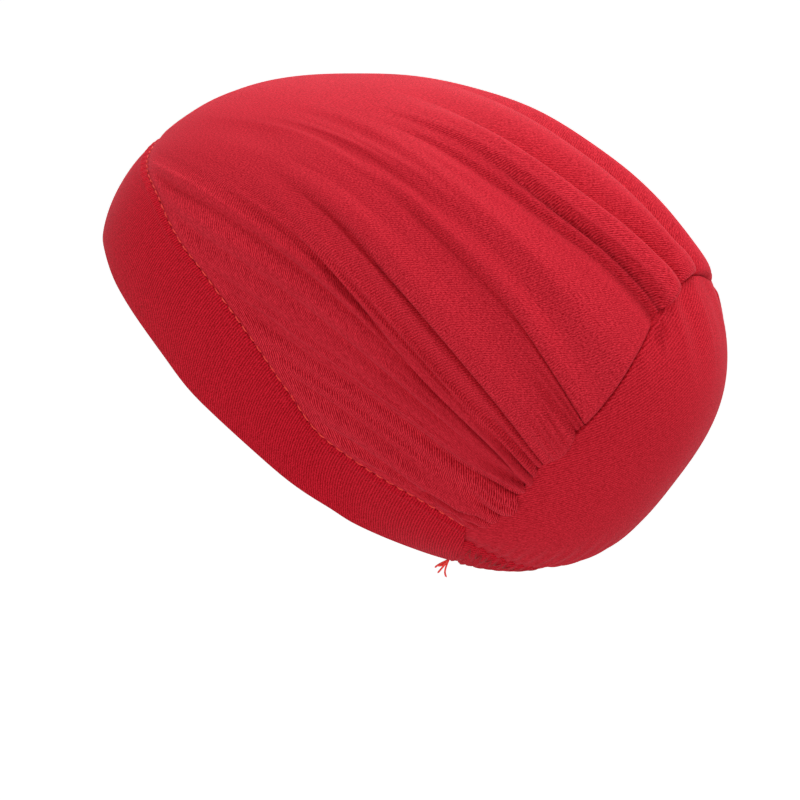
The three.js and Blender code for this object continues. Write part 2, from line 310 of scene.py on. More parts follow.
def smooth_curve(points, samples=2000):
    """A centripetal Catmull-Rom curve. The result gives points by share of its length."""
    ends = [2 * points[0] - points[1], 2 * points[-1] - points[-2]]
    padded = np.array([ends[0], *points, ends[1]])
    place = np.linspace(0, len(points) - 1, samples + 1)
    step = np.minimum(place.astype(int), len(points) - 2)
    t = (place - step)[:, None]
    before, start, end, after = (padded[step + k] for k in range(4))
    gap_before, gap, gap_after = (
        np.sqrt(np.linalg.norm(b - a, axis=1))[:, None]
        for a, b in ((before, start), (start, end), (end, after))
    )
    start_slope = (start - before) / gap_before - (end - before) / (gap_before + gap)
    start_slope = (start_slope + (end - start) / gap) * gap
    end_slope = (end - start) / gap - (after - start) / (gap + gap_after)
    end_slope = (end_slope + (after - end) / gap_after) * gap
    line = (
        start + start_slope * t
        + (3 * (end - start) - 2 * start_slope - end_slope) * t**2
        + (2 * (start - end) + start_slope + end_slope) * t**3
    )
    length = np.r_[0, np.cumsum(np.linalg.norm(np.diff(line, axis=0), axis=1))]
    return lambda share: np.stack(
        [np.interp(share * length[-1], length, line[:, axis]) for axis in range(3)], -1
    )


def seam_line(rows):
    """Directions from the form's centre along a seam, by share (-1 to 1) from its middle."""
    left = [form_point(toward(*row)[None])[0] for row in rows]
    right = [point * [-1, 1, 1] for point in left[:0:-1]]
    curve = smooth_curve(right + left)
    return lambda share: unit(curve(0.5 + np.asarray(share, float) / 2) - CENTRE)


lower_edge = seam_line(BAND_LOWER_EDGE)
band_seam = seam_line(BAND_SEAM)
gathered_seam = seam_line(GATHERED_SEAM)
casing_seam = seam_line(CASING_SEAM)
nape_edge = seam_line(NAPE_EDGE)


def line_length(points):
    return float(np.linalg.norm(np.diff(points, axis=0), axis=1).sum())


def half_length(seam):
    """A seam's length in mm from its middle to its left end."""
    return line_length(form_point(seam(np.linspace(0, 1, 200))))


shares = np.linspace(-1, 1, 401)
for title, seam in (("band", band_seam), ("gathered", gathered_seam), ("nape", nape_edge)):
    print(title, "seam length, mm:", round(line_length(form_point(seam(shares))), 1))


# %% [markdown]
# ## Laying cloth between two seams
# Every piece is a sheet between two seams, so it can be drawn as a grid: across runs
# along the seams and along runs from one seam to the other. The grid could be modelled by
# hand and sculpted, but then each pleat would be a guess. Worked out from the seams, it
# keeps the pleats where the photo has them. Folds lift the grid along the normal, and a
# push sideways makes a fold hang over its neighbour, which a lift alone can't do.

# %% Grid helpers
def between(start, end, share, bow=0.0):
    """Directions along great circles from start to end, pushed sideways by bow degrees."""
    share = share[..., None]
    angle = np.arccos(np.clip((start * end).sum(-1, keepdims=True), -1, 1))
    direction = start * np.sin((1 - share) * angle) + end * np.sin(share * angle)
    side = unit(np.cross(start, end))
    push = np.tan(np.radians(bow))[..., None] if np.ndim(bow) else tan(radians(bow))
    return unit(direction / np.sin(angle) + side * push * np.sin(pi * share))


def seam_span(start, end):
    return np.linalg.norm(form_point(start) - form_point(end), axis=-1)


def mirror_right(direction, across):
    flipped = direction.copy()
    flipped[..., 0] *= np.where(across < 0, -1, 1)
    return flipped


def lay(direction, lift, sideways=0.0, lengthwise=0.0):
    """Grid points on the form, lifted along its normal and pushed along the grid, in mm."""
    base = form_point(direction)
    across_way = unit(np.gradient(base, axis=0))
    along_way = unit(np.gradient(base, axis=1))
    raised = base + form_normal(base) * np.asarray(lift)[..., None]
    raised += across_way * (np.zeros(base.shape[:2]) + sideways)[..., None]
    return raised + along_way * (np.zeros(base.shape[:2]) + lengthwise)[..., None]


def grid_steps(points, axis):
    """Distance in mm from the first row of a grid along one of its axes."""
    steps = np.linalg.norm(np.diff(points, axis=axis), axis=-1)
    zero = np.zeros_like(np.take(steps, [0], axis=axis))
    return np.concatenate([zero, np.cumsum(steps, axis=axis)], axis=axis)


middle_span = seam_span(band_seam(0), gathered_seam(0))
print("straight from the band seam to the gathered seam, mm:", middle_span.round(1))


# %% [markdown]
# ## A closed wall of cloth
# Cloth has two skins and a rim, and closed walls light and export well. A solidify modifier
# would add the second skin, but it lets tight creases cross, so each piece brings both skins
# as grids. The inner one may be coarser, because it shows less. Every point also keeps its
# place on the flat cloth, which the jersey's knit needs later.

# %% Closed wall of cloth
def mesh_piece(name, points, faces):
    """A smooth mesh from points in mm, which rides on the cap's only body."""
    mesh = bpy.data.meshes.new(name)
    mesh.from_pydata((points * MM).tolist(), [], faces)
    mesh.polygons.foreach_set("use_smooth", [True] * len(mesh.polygons))
    mesh.update()
    piece = new_object(name, mesh)
    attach(piece, "root")
    return piece


def cloth_object(name, outer, inner, cloth_place, row_share):
    """A closed wall of cloth. The inner skin may be coarser by a whole factor. Each vertex
    keeps its place on the flat cloth in mm, and how much of the knit's pattern is rows of
    stitches there. The jersey material reads both."""
    m, n = outer.shape[0] - 1, outer.shape[1] - 1
    p, q = inner.shape[0] - 1, inner.shape[1] - 1
    ratio_m, ratio_n = m // p, n // q
    o = np.arange((m + 1) * (n + 1)).reshape(m + 1, n + 1)
    i = o.size + np.arange((p + 1) * (q + 1)).reshape(p + 1, q + 1)

    def quads(k, flip):
        corners = [k[:-1, :-1], k[1:, :-1], k[1:, 1:], k[:-1, 1:]]
        return np.stack(corners[::-1] if flip else corners, -1).reshape(-1, 4).tolist()

    faces = quads(o, False) + quads(i, True)
    for rim_o, rim_i, ratio, flip in (
        (o[:, 0], i[:, 0], ratio_m, True), (o[:, -1], i[:, -1], ratio_m, False),
        (o[0, :], i[0, :], ratio_n, False), (o[-1, :], i[-1, :], ratio_n, True),
    ):
        for k in range(len(rim_i) - 1):
            fine = rim_o[k * ratio:(k + 1) * ratio + 1].tolist()
            face = fine + [int(rim_i[k + 1]), int(rim_i[k])]
            faces.append(face[::-1] if flip else face)
    piece = mesh_piece(name, np.concatenate([outer.reshape(-1, 3), inner.reshape(-1, 3)]), faces)
    rows_show = np.zeros(cloth_place.shape[:2]) + row_share
    knit = np.concatenate([cloth_place, rows_show[..., None]], -1)
    knit = np.concatenate([knit.reshape(-1, 3), knit[::ratio_m, ::ratio_n].reshape(-1, 3)])
    attribute = piece.data.attributes.new("knit_place", "FLOAT_VECTOR", "POINT")
    attribute.data.foreach_set("vector", knit.ravel())
    print(name, "has", sum(len(face) - 2 for face in faces), "triangles")
    return piece


# %% [markdown]
# ## How the crown cloth runs
# On the real cap the crown is one broad sheet. Its long front edge is sewn to the band,
# and its short rear edge is gathered, so each pleat is a line from the front seam to the
# rear one. The table says for places over the cloth (0 in the middle, 1 at the ends)
# where along each seam such a line starts and ends, and how far it bows. A monotone curve
# through the rows keeps neighbouring lines from crossing.

# %% Crown run
CrownRun = namedtuple("CrownRun", "across rear front bow")
CROWN_RUN = [
    CrownRun(0, 0, 0, 0),
    CrownRun(0.1, 0.142, 0.03, 8),
    CrownRun(0.21, 0.303, 0.06, 15),
    CrownRun(0.34, 0.515, 0.08, 30),
    CrownRun(0.43, 0.649, 0.1, 31.5),
    CrownRun(0.495, 0.732, 0.14, 27),
    CrownRun(0.665, 0.777, 0.5, 4.5),
    CrownRun(0.8, 0.905, 0.64, 4),
    CrownRun(1, 1, 1, 0),
]


def table_curve(rows, column):
    """A monotone curve through one column of a table, over its across column."""
    x = np.array([row.across for row in rows], float)
    y = np.array([getattr(row, column) for row in rows], float)
    slopes = np.diff(y) / np.diff(x)
    tangents = [slopes[0]]
    for before, after in zip(slopes[:-1], slopes[1:]):
        same_way = before * after > 0
        tangents.append(2 * before * after / (before + after) if same_way else 0)
    tangents = np.array([*tangents, slopes[-1]])

    def read(value):
        step = np.clip(np.searchsorted(x, value) - 1, 0, len(x) - 2)
        width = x[step + 1] - x[step]
        t = (value - x[step]) / width
        return (
            y[step] * (1 + 2 * t) * (1 - t) ** 2 + tangents[step] * width * t * (1 - t) ** 2
            + y[step + 1] * t**2 * (3 - 2 * t) + tangents[step + 1] * width * t**2 * (t - 1)
        )

    return read


rear_share = table_curve(CROWN_RUN, "rear")
front_share = table_curve(CROWN_RUN, "front")
run_bow = table_curve(CROWN_RUN, "bow")


def crown_direction(across, along):
    half = np.abs(across)
    front = band_seam(front_share(half))
    rear = gathered_seam(rear_share(half))
    return mirror_right(between(front, rear, along, run_bow(half)), across)


middle_run = form_point(crown_direction(np.zeros(200), np.linspace(0, 1, 200)))
print("crown cloth, middle run in mm:", round(line_length(middle_run), 1))


# %% [markdown]
# ## Pleats and gathers
# Where the wide cloth meets the short seam it bunches up. Two thick rolls lie on top, a
# smooth panel follows at each side, and small gathers crowd towards its ends. A cloth
# simulation could bunch a sheet by itself, but its folds would fall anywhere. So each fold
# is a row: its place over the cloth at three stages of its run, its height, and the
# stretch over which it grows. Creases are narrow valleys beside them.

# %% Fold table
# Each row is the line of a ridge or of a valley. It lies at early, middle and end over the
# cloth where EARLY, MIDDLE and all of the run is done. It grows to its height in mm between
# the shares start and full, and has the height tail right at the seam. crease says how
# sharp a valley's bottom is
Fold = namedtuple("Fold", "early middle end height tail start full crease")
EARLY, MIDDLE = 0.45, 0.85
MIDDLE_FOLDS = [
    Fold(-0.160, -0.146, -0.140, -0.5, -0.6, 0.55, 0.90, 0.3),
    Fold(-0.140, -0.132, -0.128, 0.9, 0.9, 0.55, 0.90, 0),
    Fold(-0.128, -0.122, -0.118, -0.2, -0.5, 0.60, 0.92, 0.8),
    Fold(-0.105, -0.095, -0.075, 2.3, 2.4, 0.50, 0.88, 0),
    Fold(-0.070, -0.055, -0.030, -2.2, -2.4, 0.50, 0.90, 0.8),
    Fold(0.000, 0.010, 0.012, 3.4, 4.0, 0.45, 0.88, 0),
]
LEFT_FOLDS = [
    Fold(0.055, 0.070, 0.050, -2.4, -3.0, 0.52, 0.88, 0.8),
    Fold(0.097, 0.098, 0.082, 4.8, 5.8, 0.48, 0.86, 0),
    Fold(0.116, 0.119, 0.103, 3.8, 4.7, 0.48, 0.86, 0),
    Fold(0.132, 0.133, 0.118, -3.0, -3.8, 0.72, 0.91, 0.9),
    Fold(0.146, 0.146, 0.125, 0.5, -1.0, 0.78, 0.90, 0),
    Fold(0.160, 0.158, 0.134, -2.6, -4.0, 0.50, 0.84, 0.6),
    Fold(0.185, 0.184, 0.176, -0.2, -0.2, 0.50, 0.78, 0),
    Fold(0.232, 0.240, 0.248, 2.1, 0.9, 0.45, 0.78, 0),
    Fold(0.285, 0.292, 0.300, -0.5, -0.3, 0.50, 0.80, 0),
    Fold(0.322, 0.326, 0.340, 2.5, 1.3, 0.45, 0.74, 0),
    Fold(0.345, 0.338, 0.349, -1.7, -3.0, 0.55, 0.86, 0.9),
    Fold(0.354, 0.348, 0.355, -0.7, -0.2, 0.60, 0.93, 0),
    Fold(0.363, 0.358, 0.361, -0.6, -2.0, 0.60, 0.93, 0.6),
    Fold(0.375, 0.373, 0.366, -0.3, -0.1, 0.60, 0.93, 0),
    Fold(0.386, 0.386, 0.372, 0.0, -2.6, 0.60, 0.93, 0.8),
    Fold(0.418, 0.432, 0.415, 2.9, 3.2, 0.33, 0.62, 0),
    Fold(0.424, 0.438, 0.437, 2.8, 3.0, 0.33, 0.62, 0),
    Fold(0.438, 0.452, 0.454, -2.8, -3.3, 0.33, 0.66, 0.9),
    Fold(0.447, 0.462, 0.463, 0.4, 0.6, 0.40, 0.70, 0),
    Fold(0.460, 0.488, 0.470, -1.2, -2.0, 0.42, 0.78, 0.6),
    Fold(0.472, 0.502, 0.485, 0.2, 1.2, 0.42, 0.76, 0),
    Fold(0.478, 0.514, 0.501, 0.9, -1.4, 0.30, 0.70, 0.5),
    Fold(0.488, 0.540, 0.536, 2.1, 1.8, 0.20, 0.58, 0),
    Fold(0.500, 0.563, 0.574, -2.5, -3.3, 0.20, 0.62, 0.9),
    Fold(0.525, 0.580, 0.600, 0.6, -0.2, 0.25, 0.66, 0),
    Fold(0.560, 0.620, 0.645, 0.8, -1.6, 0.30, 0.90, 0.6),
    Fold(0.630, 0.672, 0.676, 1.8, 1.5, 0.20, 0.85, 0),
    Fold(0.690, 0.713, 0.702, -2.0, -3.0, 0.58, 0.84, 0.9),
    Fold(0.720, 0.738, 0.740, 1.2, 2.4, 0.60, 0.88, 0),
    Fold(0.745, 0.765, 0.778, 0.3, -1.4, 0.60, 0.92, 0.5),
    Fold(0.875, 0.840, 0.800, 2.6, 1.8, 0.26, 0.72, 0),
    Fold(0.925, 0.866, 0.824, -2.8, -2.8, 0.30, 0.66, 0.9),
    Fold(0.945, 0.905, 0.862, 1.2, 1.8, 0.36, 0.78, 0),
    Fold(0.960, 0.945, 0.902, -1.2, -2.0, 0.50, 0.85, 0.8),
    Fold(0.972, 0.968, 0.935, 0.4, 1.2, 0.45, 0.85, 0),
    Fold(0.985, 0.985, 0.968, -0.6, -1.2, 0.45, 0.85, 0.5),
]
RIGHT_START = 0.165  # the right half repeats the left half's folds from here on
RIGHT_SPREAD = 0.98
RIGHT_HEIGHT = 0.9
CLOTH_ENDS = [Fold(e, e, e, 0, 0, 0, 1, 0) for e in (-1.1, 1.1)]


def to_right(row):
    return row._replace(
        early=-row.early * RIGHT_SPREAD, middle=-row.middle * RIGHT_SPREAD,
        end=-row.end * RIGHT_SPREAD, height=row.height * RIGHT_HEIGHT,
        tail=row.tail * RIGHT_HEIGHT,
    )


right_folds = [to_right(row) for row in LEFT_FOLDS if row.middle > RIGHT_START]
folds = sorted(LEFT_FOLDS + MIDDLE_FOLDS + right_folds + CLOTH_ENDS, key=lambda row: row.middle)
print(len(folds), "ridges and valleys,", len(right_folds), "of them mirrored to the right")


# %% [markdown]
# ## Heights between the folds
# A ridge is round and a crease is sharp, so a plain cosine between neighbours won't do for
# both. Here each stretch of cloth from one fold to the next eases from the one height to the
# other, softly or sharply at each end, as the table says.

# %% Heights between the folds
TAIL_SPAN = (0.88, 0.99)  # shares of the run between which a fold comes to its tail's height


def smoothstep(x, start, end):
    t = np.clip((x - start) / (end - start), 0, 1)
    return t * t * (3 - 2 * t)


def fold_place(row, along):
    place = row.early + (row.middle - row.early) * smoothstep(along, EARLY, MIDDLE)
    return place + (row.end - row.middle) * smoothstep(along, MIDDLE, 1)


def fold_height(row, along):
    grown = row.height * smoothstep(along, row.start, row.full)
    return grown + (row.tail - row.height) * smoothstep(along, *TAIL_SPAN)


def ease(t, sharp_start, sharp_end):
    """Runs from 0 to 1 with a soft or a creased start and end."""
    soft = (1 - np.cos(pi * t)) / 2
    into = 1 - np.cos(pi / 2 * t)
    out = np.sin(pi / 2 * t)
    a, b = sharp_start, sharp_end
    return (1 - a) * (1 - b) * soft + (1 - a) * b * into + a * (1 - b) * out + a * b * t


def crown_profile(across, along):
    lift = np.zeros_like(across)
    for first, last in zip(folds[:-1], folds[1:]):
        start, end = fold_place(first, along), fold_place(last, along)
        inside = (across >= start) & (across < end)
        t = np.clip((across - start) / (end - start), 0, 1)
        low, high = fold_height(first, along), fold_height(last, along)
        lift = np.where(inside, low + (high - low) * ease(t, first.crease, last.crease), lift)
    return lift


levels = np.linspace(0, 1, 101)
places = np.array([fold_place(row, levels) for row in folds])
print("nearest pair of folds, by place:", round(np.diff(places, axis=0).min(), 4))


# %% [markdown]
# ## Crown grid
# The crown carries almost all of the look, so its grid is the finest. Columns crowd where
# the photo's side shows gathers, and rows crowd towards the rear seam, where folds end. An
# evenly divided sheet would need many more points for the same creases. The smooth part of
# stretched jersey is never quite even, so a few soft dents and swells are added to it.

# %% Crown grid
CROWN_COLUMNS = 560
CROWN_ROWS = 148
ROW_CROWD = 1.6
DENSE_SPAN = (-0.15, 0.8)  # the places over the cloth where columns lie closer together
DENSE_WEIGHT = 1.5
SPARSE_WEIGHT = 0.75
CROWN_END = 0.995  # the grid stops short of 1, where the crown's two seams meet in a point
SEAM_GAP = 0.2  # mm between neighbours along a seam
# A dent's place and half width, over the cloth and by share of the run, and its mm of height
Dent = namedtuple("Dent", "across along wide long height")
DENTS = [
    Dent(0.660, 0.16, 0.070, 0.22, -0.9),
    Dent(0.560, 0.22, 0.060, 0.25, 0.7),
    Dent(0.350, 0.30, 0.060, 0.22, -0.7),
    Dent(0.520, 0.30, 0.030, 0.25, -0.5),
    Dent(0.790, 0.25, 0.070, 0.35, 0.6),
    Dent(0.655, 0.36, 0.045, 0.16, 0.7),
    Dent(0.535, 0.40, 0.022, 0.22, 0.8),
    Dent(0.470, 0.42, 0.012, 0.26, 0.6),
]


def crowded_columns(count):
    """Places from -1 to 1 that lie closer together in the dense span."""
    fine = np.linspace(-1, 1, 2001)
    dense = (fine > DENSE_SPAN[0]) & (fine < DENSE_SPAN[1])
    weight = np.where(dense, DENSE_WEIGHT, SPARSE_WEIGHT)
    summed = np.r_[0, np.cumsum((weight[1:] + weight[:-1]) / 2)]
    return np.interp(np.linspace(0, summed[-1], count + 1), summed, fine)


def round_bump(offset, spread):
    return np.cos(pi / 2 * np.clip(offset / spread, -1, 1)) ** 2


columns = crowded_columns(CROWN_COLUMNS) * CROWN_END
rows = 1 - (1 - np.arange(CROWN_ROWS + 1) / CROWN_ROWS) ** ROW_CROWD
across, along = np.meshgrid(columns, rows, indexing="ij")
half = np.abs(across)
run_length = seam_span(band_seam(front_share(half)), gathered_seam(rear_share(half)))
gap = SEAM_GAP / 2 / run_length
share = gap + (1 - 2 * gap) * along
direction = crown_direction(across, share)
from_front = share * run_length
to_rear = (1 - share) * run_length
lift = crown_profile(across, share)
for row in DENTS:
    swell = row.height * round_bump(half - row.across, row.wide)
    lift += swell * round_bump(share - row.along, row.long)
print("crown grid", across.shape, "with folds from", lift.min().round(1), "to", lift.max().round(1))


# %% [markdown]
# ## Pattern of the smallest pleats
# Gathering leaves rows of tiny pleats at the seam, uneven in width, height and length. Bump
# alone wouldn't show in the outline, so they are part of the mesh. A cosine along the seam
# makes them, and smooth random curves bend their spacing, height and reach. The curves' fixed
# seeds give the same cap each time. The pattern is laid on later, over the rounded ends.

# %% Pattern of the smallest pleats
FINE_PLEAT = 3.3  # mm from one pleat to the next
FINE_HEIGHT = 1.05
FINE_REACH = 17.0  # mm over which the longest ones fade
FINE_FULL = 3.0  # mm above the folds' rounded ends where they start to fade
FINE_RISE = (0.37, 0.38)  # the places over the cloth between which they set in
FINE_END = (0.74, 0.76)  # and between which they stop


def wander(place, step, seed):
    """A smooth random curve between -1 and 1 that changes over about one step."""
    rng = np.random.default_rng(seed)
    values = rng.uniform(-1, 1, 400)
    at = place / step + 200
    low = np.clip(np.floor(at).astype(int), 0, 398)
    t = np.clip(at - low, 0, 1)
    return values[low] + (values[low + 1] - values[low]) * t * t * (3 - 2 * t)


along_seam = rear_share(half) * half_length(gathered_seam)
pleat_phase = along_seam / FINE_PLEAT + 0.5 * wander(along_seam, 7.0, 4)
pleats = np.cos(2 * pi * pleat_phase) * (0.6 + 0.4 * wander(along_seam, 3.0, 5))
pleated = smoothstep(half, *FINE_RISE) * (1 - smoothstep(half, *FINE_END))
pleat_reach = FINE_REACH * (0.75 + 0.25 * wander(along_seam, 4.0, 6))
print("the smallest pleats fade over", pleat_reach.min().round(1), "to", pleat_reach.max().round(1))


# %% [markdown]
# ## Puckers and waves
# The stitches draw small puckers along the band seam, the cloth has a little slack, and the
# folds run on towards the brow as soft waves. A displacement texture could make all three,
# but it wouldn't follow the lines of the cloth. Curves over the distance across it do.

# %% Puckers and waves
SEAM_PUCKER = 4.4  # mm between the puckers
PUCKER_HEIGHT = 0.3
PUCKER_FADE = (0.6, 5.0)  # mm from the band seam
PUCKER_END = 0.6  # the place over the cloth where they stop
SLACK_HEIGHT = 0.12
SLACK_STEP = 14.0  # mm over which the slack changes
SLACK_RISE = (5, 60)  # mm from the gathered seam
WAVES = [(3.6, 0.85), (9.0, 1.9)]  # the width and height of each kind, in mm
WAVE_FROM_FRONT = (3, 20)  # mm over which the waves rise from the one seam
WAVE_TO_REAR = (10, 35)  # and from the other
WAVE_FROM_MIDDLE = (0.12, 0.2)  # the places over the cloth between which they set in
WAVE_END = (0.85, 0.97)  # and between which they stop
# The calm part by the band has none. It ends between these shares of the run and places
CALM_RUN = (0.25, 0.6)
CALM_PLACE = (0.44, 0.52)

front_half = half_length(band_seam)
along_front = front_share(half) * front_half
drawn = 1 - smoothstep(from_front, *PUCKER_FADE)
lift += PUCKER_HEIGHT * drawn * np.cos(2 * pi * along_front / SEAM_PUCKER) * (half < PUCKER_END)
slack = wander(along_seam + 0.3 * to_rear, SLACK_STEP, 8)
lift += SLACK_HEIGHT * slack * smoothstep(to_rear, *SLACK_RISE)
cloth_width = (half * front_half + along_front) / 2
wave_size = smoothstep(from_front, *WAVE_FROM_FRONT) * smoothstep(to_rear, *WAVE_TO_REAR)
wave_size *= smoothstep(half, *WAVE_FROM_MIDDLE)
wave_size *= 1 - (1 - smoothstep(share, *CALM_RUN)) * (1 - smoothstep(half, *CALM_PLACE))
wave_size *= 1 - smoothstep(half, *WAVE_END)
for seed, (wide, height) in enumerate(WAVES, 21):
    lift += height * wave_size * wander(cloth_width + 0.1 * to_rear, wide, seed)
print("the waves are at nearly full height on", f"{(wave_size > 0.9).mean():.0%}", "of the grid")


# %% [markdown]
# ## Rounded ends
# A stuffed fold doesn't stop flat at the gathered seam. Its end is a rounded lobe that hangs
# a little over the seam, with the smallest pleats as creases in it. Spheres joined to the
# cloth would look stuck on, so each lobe raises the grid to a dome between its two edges.

# %% Rounded ends
# Where each lobe starts and ends over the cloth, its height and how far it hangs over, in mm
Lobe = namedtuple("Lobe", "start end height overhang")
MIDDLE_LOBES = [
    Lobe(-0.118, -0.034, 2.6, 2.0),
    Lobe(-0.030, 0.048, 4.4, 3.4),
    Lobe(0.052, 0.117, 6.0, 4.6),
]
LEFT_LOBES = [
    Lobe(0.372, 0.452, 3.6, 5.8),
    Lobe(0.456, 0.468, 0.7, 1.6),
    Lobe(0.472, 0.500, 1.4, 2.8),
    Lobe(0.504, 0.572, 2.0, 3.8),
    Lobe(0.648, 0.700, 1.6, 2.8),
    Lobe(0.704, 0.777, 2.8, 5.0),
    Lobe(0.780, 0.822, 1.8, 2.8),
    Lobe(0.828, 0.900, 2.0, 3.2),
    Lobe(0.906, 0.966, 1.4, 2.0),
]
LOBE_FULL = 2.5  # mm from the seam where the rounded end has taken over from the fold
LOBE_START = 9.0
FOLD_TURN = 0.85  # mm along the cloth in which a fold turns down, for each mm of its height

mirrored = [row._replace(start=-row.end * RIGHT_SPREAD, end=-row.start * RIGHT_SPREAD)
            for row in LEFT_LOBES]
lobes = LEFT_LOBES + MIDDLE_LOBES + mirrored
rounded = 1 - smoothstep(to_rear, LOBE_FULL, LOBE_START)
overhang = np.zeros_like(across)
for row in lobes:
    u = np.clip((2 * across - row.start - row.end) / (row.end - row.start), -1, 1)
    dome = np.sqrt(1 - u**2)
    edges = (row.start, row.end)
    start_lift, end_lift = (crown_profile(np.full(len(rows), edge), rows) for edge in edges)
    floor_lift = start_lift + (end_lift - start_lift) * (u + 1) / 2
    lobe_lift = floor_lift + (row.height - floor_lift) * dome
    lift += np.where(np.abs(u) < 1, rounded * (lobe_lift - lift), 0)
    overhang += row.overhang * dome**1.6
pleat_start = FINE_FULL + FOLD_TURN * np.maximum(lift, 0)
pleat_fade = smoothstep(to_rear, pleat_start, FINE_FULL + pleat_reach)
lift += FINE_HEIGHT * pleats * pleated * (1 - pleat_fade)
print(len(lobes), "rounded ends, and the highest fold stands", lift.max().round(1), "mm high")


# %% [markdown]
# ## Turning down and leaning over
# At the seam every fold turns down to the stitches in a quarter round, which leaves a thin
# dark line there. Lift alone can't make cloth overhang. So the rounded ends are pushed over
# the seam. At six places on the left, and five of them mirrored, the cloth is also pushed
# sideways over the crease beside it.

# %% Turning down and leaning over
REAR_DEPTH = 1.8  # mm from the cloth down to the stitches of the gathered seam
EDGE_TURN = 1.1  # mm over which flat cloth turns down to them, and more for thick folds
REAR_PUFF = 0.5
PUFF_FADE = (2, 14)  # mm from the seam between which the puff fades
# A leaning place at MIDDLE and at the end of the run, its half width, its mm of push, and
# the shares of the run between which the push grows
Lean = namedtuple("Lean", "middle end spread push start full")
LEANS = [
    Lean(0.115, 0.100, 0.017, 1.9, 0.78, 0.92),
    Lean(0.331, 0.344, 0.010, 1.5, 0.80, 0.92),
    Lean(0.445, 0.446, 0.009, 1.5, 0.55, 0.75),
    Lean(0.552, 0.556, 0.014, 1.3, 0.50, 0.75),
    Lean(0.706, 0.700, 0.010, 0.8, 0.72, 0.88),
    Lean(0.852, 0.814, 0.018, 1.3, 0.70, 0.88),
]


def quarter_round(distance, reach):
    t = np.clip(1 - distance / reach, 0, 1)
    return np.sqrt(1 - t**2)


puffed = lift + REAR_PUFF * (1 - smoothstep(to_rear, *PUFF_FADE))
turn_reach = EDGE_TURN + FOLD_TURN * np.maximum(lift, 0)
above_seam = np.maximum(puffed + REAR_DEPTH, 0)
raised = puffed - above_seam * (1 - quarter_round(to_rear, turn_reach))
overhang *= np.sin(pi * np.clip(1 - to_rear / turn_reach, 0, 1))
sideways = np.zeros_like(across)
for row in LEANS:
    place = row.middle + (row.end - row.middle) * smoothstep(share, MIDDLE, 1)
    grown = smoothstep(share, row.start, row.full) * row.push
    bumps = round_bump(half - place, row.spread) * np.sign(across)
    sideways += grown * np.where(across < 0, bumps * (row.middle > RIGHT_START), bumps)
print("pushed sideways by up to", np.abs(sideways).max().round(1), "mm, and over the seam by up to",
      overhang.max().round(1))


# %% [markdown]
# ## Crown
# The outer skin is the grid with all of this on it. The inner skin could follow it at one
# cloth's thickness, but would then cross itself in tight creases. So it lies that far below
# the lowest point nearby, on a coarser grid. Each point also keeps its place on the flat
# cloth. There a pleat line has one place across, so one row of the grid measures it for all.

# %% Crown cloth
CROWN_CLOTH = 1.2
SKIN_RATIO = 4  # the inner skin of single cloth has one point for so many, in both directions
SEAM_SINK = 0.9
SEAM_REACH = 7.0  # mm from a seam over which the cloth sinks to it
KNIT_SHARE = 0.75  # the share of the run at which the row that measures the cloth lies
# By place over the cloth: how much the knit slants, and how much of its pattern is rows
KNIT_SLANT = [(0, 1.3), (0.48, 1.3), (0.62, 0.6), (0.8, 0.6), (0.92, 1.6)]
KNIT_ROWS = [
    (0, 0.14), (0.12, 0.14), (0.18, 0.07), (0.43, 0.07), (0.5, 0.12), (0.62, 0.26), (1, 0.26),
]


def seam_sink(distance):
    return -SEAM_SINK * (1 - smoothstep(distance, 0, SEAM_REACH))


def lowest_nearby(grid, reach):
    """The lowest value within reach steps of each point of a grid."""
    low = grid
    for axis in (0, 1):
        wide = np.pad(low, [(reach, reach) if k == axis else (0, 0) for k in (0, 1)], "edge")
        count = low.shape[axis]
        shifts = [np.take(wide, range(k, k + count), axis=axis) for k in range(2 * reach + 1)]
        low = np.min(shifts, axis=0)
    return low


def single_inner(direction, outer_lift, cloth):
    """The inner skin of single cloth, below the outer skin's lowest points nearby."""
    low = lowest_nearby(outer_lift, SKIN_RATIO)[::SKIN_RATIO, ::SKIN_RATIO]
    return lay(direction[::SKIN_RATIO, ::SKIN_RATIO], low - cloth)


outer_lift = raised + seam_sink(from_front)
outer = lay(direction, outer_lift, sideways, overhang)
inner = single_inner(direction, outer_lift, CROWN_CLOTH)

knit_row = int(np.searchsorted(rows, KNIT_SHARE))
flat_across = grid_steps(form_point(direction), 0)[:, knit_row]
flat_across -= flat_across[CROWN_COLUMNS // 2]
slant = np.interp(np.abs(columns), *zip(*KNIT_SLANT)) * np.sign(columns)
steps = np.diff(flat_across) * (slant[1:] + slant[:-1]) / 2
slanted = np.r_[0, np.cumsum(steps)]
knit_place = np.broadcast_arrays(flat_across[:, None], grid_steps(outer, 1) + slanted[:, None])
row_share = np.interp(np.abs(columns), *zip(*KNIT_ROWS))[:, None]
crown = cloth_object("crown_cloth", outer, inner, np.stack(knit_place, -1), row_share)
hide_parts("crown")
print("lift of the crown's outer face, mm:", outer_lift.min().round(1), outer_lift.max().round(1))


# %% [markdown]
# ## Strips between two seams
# The other three pieces are plainer strips. Each could get a grid of its own, as the crown
# has, but one helper serves all of them. The panel's and the casing's ends tuck under the
# band, as sewn ends do, so no light shows there. The band and the casing are folded double,
# and close in a half round at their fold.

# %% Strip helpers
END_TUCK = 1.5  # mm that a strip's ends reach under the band
TUCK_DEPTH = 1.1
TUCK_REACH = (0.95, 1)  # the places between which they reach out
TUCK_SINK = (0.985, 1)  # and those between which they sink


